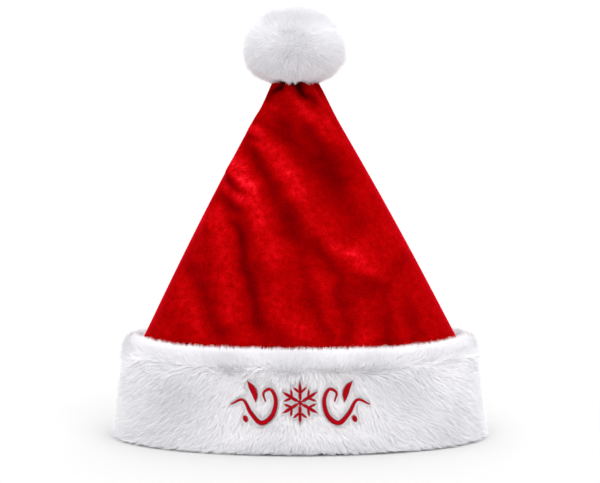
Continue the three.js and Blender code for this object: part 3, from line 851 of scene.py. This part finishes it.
def even_places(count, seed):
    """Places spread evenly over a unit square, each moved a little"""
    random = np.random.default_rng(seed)
    jitter = random.uniform(-0.5, 0.5, (2, count)) / math.sqrt(count)
    share, rise = (np.mod(np.arange(count) * step + shift, 1) for step, shift in zip(EVEN_STEPS, jitter))
    return share, rise, random


def leaning(way, normal, rise, length):
    """Steps of a length that rise from the surface at an angle"""
    return length[:, None] * (way * np.cos(rise)[:, None] + normal * np.sin(rise)[:, None])


def cuff_hairs(count, seed, spread):
    """Strands all over the cuff, with their angle round it and their place along its section"""
    share, rise, random = even_places(count, seed)
    angle = angle_by_arc(share)
    along = rise * PROFILE_LENGTH
    points, normal, aside, upward = surface_frame(angle, along, fur_inset(along))
    rolled = rolled_at(along)
    parted = parted_at(along, points)
    standing = 4 * parted * (1 - parted)
    way = combed(angle, rolled, parted, points, normal, aside, upward, random)
    pressed = pressed_at(angle, points[:, 2])
    length = lerp(FUR_LENGTH, ROLL_FUR_LENGTH, rolled)
    length = lerp(length, MOTIF_FUR_LENGTH, pressed) * random.uniform(1 - spread, 1 + spread, count)
    loose = 26 * (random.random(count) < 0.1) * (1 - pressed)
    first = lerp(*ROOT_ANGLES, standing) * (1 - 0.15 * pressed) + random.normal(0, 8, count)
    second = lerp(*TIP_ANGLES, standing) * (1 - 0.3 * pressed) + random.normal(0, 10, count) + loose
    bend = points + leaning(way, normal, np.radians(first), 0.45 * length)
    tip = bend + leaning(way, normal, np.radians(second), 0.55 * length)
    return angle, along, Hairs(points, bend, tip, normal, random)


def gather_wisps(hairs, leaders, pull):
    """Draws strands towards the tip of the nearest leader. Gives bends, tips and which leader that is."""
    tree = KDTree(len(leaders.roots))
    for index, place in enumerate(leaders.roots):
        tree.insert(place, index)
    tree.balance()
    nearest = np.array([tree.find(place)[1] for place in hairs.roots])
    target = leaders.tips[nearest] + 0.3 * (hairs.roots - leaders.roots[nearest])
    move = pull[:, None] * (target - hairs.tips)
    return hairs.bends + 0.35 * move, hairs.tips + move, nearest


def by_wisp(leaders, nearest):
    """A chance number from 0 to 1 that is the same all over a wisp"""
    return leaders.random.random(len(leaders.roots))[nearest]


def strand_piece(name, hairs, tones, width, softness, material):
    """Tapering ribbons of two lengths, each turned by chance about its own run, whose faces look outwards.
    softness is how much a ribbon that lies flat is shaded like the fur's outer form."""
    roots, bends, tips, normals, random = hairs
    run = unit(tips - bends)
    aside = np.cross(run, normals)
    across = turned(unit(aside), run, random.uniform(-0.55, 0.55, len(roots)))
    face = np.cross(across, run)
    half = across * (width * random.uniform(0.75, 1.2, len(roots)) / 2)[:, None]
    points = np.stack([roots - half, roots + half, bends + half, bends - half, tips], axis=1)
    first = np.arange(len(roots))[:, None] * 5
    faces = [first + np.array([0, 1, 2, 3]), first + np.array([3, 2, 4])]
    piece = mesh_piece(name, points.reshape(-1, 3), faces, material)
    lying = np.linalg.norm(aside, axis=-1, keepdims=True)
    soft = unit(lerp(face, normals, softness * lying**2) + 0.12 * random.normal(size=normals.shape))
    piece.data.normals_split_custom_set_from_vertices(np.repeat(soft, 5, axis=0))
    lay_strand_map(piece, tones)
    return piece


def lay_strand_map(piece, tones):
    """Gives each strand a narrow strip of the map at its tone, running up from root to tip"""
    left = np.clip(tones, 2 * STRIP, 1 - 2 * STRIP) - STRIP
    right = left + 2 * STRIP
    low, middle, high = (np.full(len(tones), at) for at in (0.02, 0.5, 0.98))
    quads = np.stack([left, low, right, low, right, middle, left, middle], axis=1)
    ends = np.stack([left, middle, right, middle, (left + right) / 2, high], axis=1)
    layer = piece.data.uv_layers.new(name=STRAND_MAP)
    layer.uv.foreach_set("vector", np.concatenate([quads.ravel(), ends.ravel()]).astype(np.float32))


def clear_of_crown(points):
    """Points of the fur, with those that lie inside the crown's wall moved out to its face"""
    half_width, half_depth, lean = crown_oval(points[:, 2])
    angle = np.arctan2(points[:, 1] / half_depth, (points[:, 0] - lean) / half_width)
    face = crown_points(angle, points[:, 2], inset=-GAP)
    reach, least = (np.hypot(place[:, 0] - lean, place[:, 1]) for place in (points, face))
    return np.where((reach < least)[:, None], face, points)


def make_cuff_fur(material, strokes):
    """The cuff's fur, in pieces that each cover a part of the way round"""
    angle, along, hairs = cuff_hairs(CUFF_STRANDS, 21, 0.3)
    roots, random = hairs.roots, hairs.random
    area = PROFILE_LENGTH * TAU * (OPENING_WIDTH + OPENING_DEPTH) / 4
    leaders = cuff_hairs(int(area / CUFF_CLUMP**2), 22, 0.25)[2]
    parted = parted_at(along, roots)
    ragged = smoothstep(along, PROFILE_ALONG[CREST] - 0.006, PROFILE_ALONG[CREST] + 0.002)
    pull = random.uniform(0.05, 0.34, CUFF_STRANDS) * (1 - 2.8 * parted * (1 - parted)) + 0.2 * ragged
    bends, tips, nearest = gather_wisps(hairs, leaders, pull)
    tones = 0.73 + 0.18 * by_wisp(leaders, nearest) + 0.22 * (random.random(CUFF_STRANDS) - 0.5)
    # Uneven tone by place; then painted light in the parting under the roll and around the pressed fur of the
    # motif, lifting the shade there
    tones += 0.17 * ripples(roots, 0.026, 13) + 0.4 * parted * (1 - parted)
    tones += 0.1 * pressed_at(angle, roots[:, 2])
    # Painted shade: darker towards the floor, and darker in the dents below the roll
    tones -= 0.14 * (1 - smoothstep(roots[:, 2], 0, 0.4 * CUFF_HEIGHT))
    tones -= HOLLOW_SHADE * cuff_hollow(angle, roots[:, 2]) * (1 - rolled_at(along))
    ends = FLOOR_GAP + FOOT_TUFT * by_wisp(leaders, nearest) ** 1.6
    roots[:, 2] = np.maximum(roots[:, 2], ends)
    bends[:, 2] = np.maximum(bends[:, 2], ends)
    below = np.maximum(ends - tips[:, 2], 0)[:, None]
    tips = tips + below * (FOOT_SPLAY * hairs.normals * (1, 1, 0) + (0, 0, 1))
    tips = clear_of_crown(tips)
    bends = clear_of_crown(bends)
    kept = clear_of_stitches(roots, bends, tips, strokes)
    part = (angle / TAU * CUFF_PIECES).astype(int) % CUFF_PIECES
    for number in range(CUFF_PIECES):
        mine = kept & (part == number)
        shown = Hairs(*(places[mine] for places in (roots, bends, tips, hairs.normals)), random)
        piece = strand_piece(f"cuff_fur_{number + 1}", shown, tones[mine], FUR_WIDTH, 0.75, material)


def make_cuff_backing(material):
    """The padded ring that the fur grows from, closed against the crown and along the floor"""
    angle = ring_angles(BACKING_COLUMNS)
    turn, rise = np.meshgrid(angle, np.linspace(0, PROFILE_LENGTH, BACKING_ROWS))
    outer = fur_surface(turn, rise, 0.8 * fur_inset(rise))
    outer[..., 2] = np.maximum(outer[..., 2], BACKING_FOOT)
    inner = [
        cuff_points(angle, out, np.full(BACKING_COLUMNS, up * CUFF_HEIGHT))
        for out, up in ((0, 0.82), (0, 0.4), (0, 0.03), (0.003, 0))
    ]
    rings = np.concatenate([inner, outer])
    faces = [ring_faces(len(rings), BACKING_COLUMNS, looped=True)]
    piece = mesh_piece("cuff_backing", rings.reshape(-1, 3), faces, material)
    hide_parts("cuff")


# The pompom


POMPOM_MIDDLE = np.array([POMPOM_MIDDLE_X, 0, POMPOM_TOP - POMPOM_HALF_HEIGHT])
POMPOM_HALF = np.array([POMPOM_WIDTH / 2, POMPOM_WIDTH / 2, POMPOM_HALF_HEIGHT])


def pompom_point(ways, share):
    """Points a share of the way out to the pompom's outer form, which is an oval above and squarer below"""
    ways = unit(ways)
    flat = np.hypot(ways[..., 0], ways[..., 1])
    power = 2 + POMPOM_FULLNESS * smoothstep(-ways[..., 2], 0, 0.3)
    size = (flat**power + np.abs(ways[..., 2]) ** power) ** (1 / power)
    return POMPOM_MIDDLE + ways * POMPOM_HALF * (share / size)[..., None]


def sphere_places(count, seed):
    """Directions spread evenly over a sphere, each moved a little"""
    random = np.random.default_rng(seed)
    index = np.arange(count) + 0.5
    rise = 1 - 2 * index / count
    turn = index * math.pi * (3 - math.sqrt(5))
    flat = np.sqrt(1 - rise**2)
    ways = np.stack([flat * np.cos(turn), flat * np.sin(turn), rise], axis=-1)
    return unit(ways + random.normal(0, 0.9 / math.sqrt(count), (count, 3))), random


def pompom_hairs(count, seed, spread):
    """Strands that stand out all round. Their ends fall from the middle of the front round to the back."""
    ways, random = sphere_places(count, seed)
    swirl = np.stack([ripples(ways, 0.4, number) for number in (31, 32, 33)], axis=-1)
    facing = -ways[:, 1:2]
    across = ways * (1, 0, 1)
    far = np.linalg.norm(across, axis=-1, keepdims=True)
    lean = POMPOM_LEAN * np.minimum(1, 1.8 * far) * (0.8 + 0.2 * facing)
    fall = lean * (facing * across / np.maximum(far, GAP) + far * (0, 1, 0)) + (0.06, 0, -0.1)
    fall += 0.1 * swirl + random.normal(0, 0.15, (count, 3)) * (1 + np.exp(-((far / 0.3) ** 2)))
    fall -= ways * (fall * ways).sum(axis=-1, keepdims=True)
    reach = 1.01 - spread * random.random(count) + 0.05 * random.random(count) ** 6
    reach += 0.02 * ripples(ways, 0.25, 34)
    roots = pompom_point(ways - 0.75 * fall, np.full(count, POMPOM_ROOT))
    bends = pompom_point(ways - 0.5 * fall, np.full(count, POMPOM_BEND))
    tips = pompom_point(ways, reach)
    return Hairs(roots, bends, tips, unit(ways / POMPOM_HALF), random)


def fall_over_tip(points, random):
    """Points of the pompom's lowest fur, kept outside the crown's tip and ending in tufts below its top"""
    axis = np.array([-TIP_LEAN, 0])
    from_axis = points[:, :2] - axis
    outward = unit(from_axis)
    tufts = ripples(np.column_stack([outward * TIP_WIDTH / 2, np.zeros(len(points))]), 0.0022, 36)
    bottom = TIP_TOP - FRINGE_BOTTOM + FRINGE_STEP * (0.5 + 0.5 * tufts) + random.normal(0, GAP, len(points))
    height = np.maximum(points[:, 2], bottom)
    angle = np.arctan2(outward[:, 1] / TIP_DEPTH, outward[:, 0] / TIP_WIDTH)
    face = crown_points(angle, height, inset=-GAP)
    least = np.linalg.norm(face[:, :2] - axis, axis=1) + FRINGE_STEP / 3 * random.random(len(points))
    reach = np.linalg.norm(from_axis, axis=1)
    reach = np.where(height < TIP_TOP + 2 * GAP, np.maximum(reach, least), reach)
    return np.column_stack([axis + outward * reach[:, None], height])


def make_pompom(fur, backing):
    """The pompom's strands, and the soft ball that they grow from"""
    hairs = pompom_hairs(POMPOM_STRANDS, 41, 0.12)
    random = hairs.random
    area = 2 * TAU * POMPOM_HALF[0] * POMPOM_HALF[2]
    leaders = pompom_hairs(int(area / POMPOM_CLUMP**2), 42, 0.1)
    pull = random.uniform(0.1, 0.5, POMPOM_STRANDS)
    bends, tips, nearest = gather_wisps(hairs, leaders, pull)
    tones = 0.74 + 0.36 * by_wisp(leaders, nearest) + 0.25 * (random.random(POMPOM_STRANDS) - 0.5)
    # Painted shade: darker on top, against the strong light from above, and darker underneath, where shade
    # falls
    up = hairs.normals[:, 2]
    tones -= 0.85 * smoothstep(up, 0.5, 0.95) + 0.4 * smoothstep(-up, 0, 0.8)
    bends, tips = fall_over_tip(bends, random), fall_over_tip(tips, random)
    shown = hairs._replace(bends=bends, tips=tips)
    piece = strand_piece("pompom_fur", shown, tones, POMPOM_FUR_WIDTH, 0.4, fur)

    rise = np.linspace(-TAU / 4, TAU / 4, CORE_ROWS + 2)[1:-1]
    turn, lift = np.meshgrid(ring_angles(CORE_COLUMNS), rise)
    ways = np.stack([np.cos(lift) * np.cos(turn), np.cos(lift) * np.sin(turn), np.sin(lift)], axis=-1)
    rings = pompom_point(ways, POMPOM_CORE * (1 + 0.04 * ripples(ways, 0.3, 35)))
    ends = pompom_point(np.array([[0, 0, -1.0], [0, 0, 1.0]]), POMPOM_CORE)
    core = mesh_piece("pompom_core", *closed_rings(rings, ends), backing)
    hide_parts("pompom")


# The embroidery


def motif_points(across, up, above):
    """Points over the cuff's pressed fur, across and up from the middle of the motif"""
    angle = -TAU / 4 + np.arcsin(across / (HALF_WIDTH + GAP + CUFF_FOOT_THICKNESS))
    height = MOTIF_RISE + up
    floor = cuff_thickness(height) - cuff_hollow(angle, height) - MOTIF_PRESS
    return cuff_points(angle, floor + GAP + above, height)


def blend(at, start, end, first, last):
    """first at start, last at end and a straight change between them"""
    return (end - at) / (end - start) * first + (at - start) / (end - start) * last


def centripetal_path(places, count):
    """Even steps along a centripetal Catmull-Rom line through places in a plane, and its length"""
    places = np.asarray(places, float)
    padded = np.vstack([2 * places[0] - places[1], places, 2 * places[-1] - places[-2]])
    drawn = []
    for index in range(len(places) - 1):
        near = padded[index : index + 4]
        knots = np.cumsum([0, *np.sqrt(np.linalg.norm(np.diff(near, axis=0), axis=1))])
        at = np.linspace(knots[1], knots[2], 24, endpoint=False)[:, None]
        lines = [blend(at, knots[n], knots[n + 1], near[n], near[n + 1]) for n in range(3)]
        bows = [blend(at, knots[n], knots[n + 2], lines[n], lines[n + 1]) for n in range(2)]
        drawn.append(blend(at, knots[1], knots[2], *bows))
    drawn = np.vstack([*drawn, places[-1:]])
    arc = np.concatenate([[0], np.cumsum(np.linalg.norm(np.diff(drawn, axis=0), axis=1))])
    even = np.linspace(0, arc[-1], count)
    return np.stack([np.interp(even, arc, drawn[:, axis]) for axis in (0, 1)], axis=-1), arc[-1]


Stroke = namedtuple("Stroke", "places run half")


def stroke_along(places, width_at):
    """A stroke of stitching: places along it one thread apart, which way it runs and half its width there"""
    length = centripetal_path(places, 2)[1]
    count = max(8, round(length / THREAD_PITCH))
    line = centripetal_path(places, count)[0]
    run = unit(np.gradient(line, axis=0))
    return Stroke(line, run, width_at(np.linspace(0, 1, count)) / 2)


def swell(share):
    return np.sin(math.pi * np.clip(share, 0, 1))


def bar_stroke(start, end, wide):
    ends = [start, end]
    return stroke_along(ends, lambda share: wide * np.minimum(1, 4 * np.minimum(share, 1 - share) + 0.15))


def round_stroke(middle, size):
    x, y = middle
    ends = [(x, y - size / 2), (x, y + size / 2)]
    return stroke_along(ends, lambda share: size * np.sqrt(np.maximum(0, 1 - (2 * share - 1) ** 2)))


def heading(way):
    return np.array([math.cos(way), math.sin(way)])


def snowflake_strokes():
    """A round middle, and six arms with a pair of twigs each"""
    strokes = [round_stroke((0, 0), 1.3 * SNOWFLAKE_ARM)]
    for arm in range(6):
        way = math.radians(30 + 60 * arm)
        along = heading(way)
        strokes.append(bar_stroke(along * 0.0006, along * SNOWFLAKE_SIZE / 2, SNOWFLAKE_ARM))
        start = along * TWIG_PLACE
        for turn in (-1, 1):
            end = start + TWIG_LENGTH * heading(way + turn * math.radians(TWIG_TURN))
            strokes.append(bar_stroke(start, end, SNOWFLAKE_TWIG))
    return strokes


def motif_place(place, side):
    """A place from the motif's tables, in metres from its middle"""
    return side * place.across * MOTIF_WIDTH / 2, place.up * MOTIF_HEIGHT / 2


def motif_strokes():
    """Every stroke of the motif, by the name of the node that it is part of"""
    strokes = {"embroidered_snowflake": snowflake_strokes()}
    forms = {
        "scroll": (SCROLL_PATH, lambda share: SCROLL_STITCH * (0.3 + 0.7 * swell(share) ** 0.8)),
        "leaf": (LEAF_PATH, lambda share: LEAF_STITCH * swell(share) ** 0.9),
    }
    for word, side in (("left", -1), ("right", 1)):
        for form, (table, width_at) in forms.items():
            places = [motif_place(place, side) for place in table]
            strokes[f"embroidered_{form}_{word}"] = [stroke_along(places, width_at)]
        strokes[f"embroidered_dot_{word}"] = [round_stroke(motif_place(DOT_PLACE, side), DOT_SIZE)]
    return strokes


def satin(stroke):
    """Threads laid side by side across a stroke, each a closed tapering bow from edge to edge"""
    steps, sides = 7, 4
    run = stroke.run[:, None, None, :]
    across = np.stack([-stroke.run[:, 1], stroke.run[:, 0]], axis=-1) + THREAD_SLANT * stroke.run
    half = np.maximum(stroke.half, 0.0003)
    share = np.linspace(-1, 1, steps)
    dome = np.sqrt(np.clip(1 - 0.92 * share**2, 0, 1))
    rise = STITCH_HEIGHT * np.minimum(1, 0.35 + half / STITCH_HEIGHT)
    thick = THREAD_PITCH * 0.62 * np.sqrt(np.clip(1 - share**4, 0.02, 1))
    turn = ring_angles(sides)
    middle = stroke.places[:, None, :] + across[:, None, :] * half[:, None, None] * share[None, :, None]
    spot = middle[:, :, None, :] + run * (thick[:, None] * np.cos(turn))[..., None]
    ridge = (thick * THREAD_RISE / THREAD_PITCH * 2)[:, None] * np.sin(turn)
    points = motif_points(spot[..., 0], spot[..., 1], (rise[:, None] * dome)[..., None] + ridge)
    # Painted light and shade: each thread lighter on the stroke's middle and darker towards its edges
    stitch_painted_light = np.broadcast_to((1 - np.abs(share) ** 1.5)[:, None], points.shape[:3]).ravel()
    threads = np.arange(len(stroke.places))[:, None] * steps * sides
    quads = ring_faces(steps, sides) + threads[..., None]
    loop = np.arange(sides)
    ends = np.concatenate([loop[::-1] + threads, loop + (steps - 1) * sides + threads])
    return points.reshape(-1, 3), quads.reshape(-1, 4), ends, stitch_painted_light


def make_embroidery(strokes_by_node, material):
    for node, strokes in strokes_by_node.items():
        laid = []
        start = 0
        for stroke in strokes:
            points, quads, ends, stitch_painted_light = satin(stroke)
            laid.append((points, quads + start, ends + start, stitch_painted_light))
            start += len(points)
        points, quads, ends, stitch_painted_light = (np.concatenate(parts) for parts in zip(*laid))
        piece = mesh_piece(node.replace("embroidered", "stitched"), points, [quads, ends], material)
        keep_on(piece, "crown_of_stitch", stitch_painted_light)
        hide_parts(node)


def clear_of_stitches(roots, bends, tips, strokes_by_node):
    """True for the strands that the embroidery doesn't lie over. Those that would cross it are shortened."""
    near = np.flatnonzero((roots[:, 1] < 0) & (np.abs(roots[:, 0]) < MOTIF_WIDTH / 2 + 2 * MOTIF_MARGIN))
    strokes = [stroke for group in strokes_by_node.values() for stroke in group]
    spots = np.concatenate([motif_points(*stroke.places.T, 0.001) for stroke in strokes])[:, [0, 2]]
    clear = np.concatenate([stroke.half for stroke in strokes]) + STITCH_MARGIN
    kept = np.ones(len(roots), bool)
    reach = np.ones(len(near))
    steps, batch = 6, 200
    for share in np.linspace(1, 0, steps + 1):
        place = lerp(roots[near], tips[near], share)[:, [0, 2]]
        away = np.full(len(near), 1.0)
        for first in range(0, len(spots), batch):
            gap = np.linalg.norm(place[:, None] - spots[None, first : first + batch], axis=-1)
            away = np.minimum(away, (gap - clear[first : first + batch]).min(axis=1))
        reach = np.where(away < 0, share - 1 / steps, reach)
    kept[near[reach < 0.3]] = False
    reach = np.clip(reach, 0.3, 1)[:, None]
    bends[near] = lerp(roots[near], bends[near], reach)
    tips[near] = lerp(roots[near], tips[near], reach)
    return kept


# Making the hat

make_camera()
make_studio()
white_fur = fur_finish()
underfur = backing_finish()
motif = motif_strokes()
make_crown(velvet_finish())
make_cuff_backing(underfur)
make_cuff_fur(white_fur, motif)
make_pompom(white_fur, underfur)
make_embroidery(motif, thread_finish())
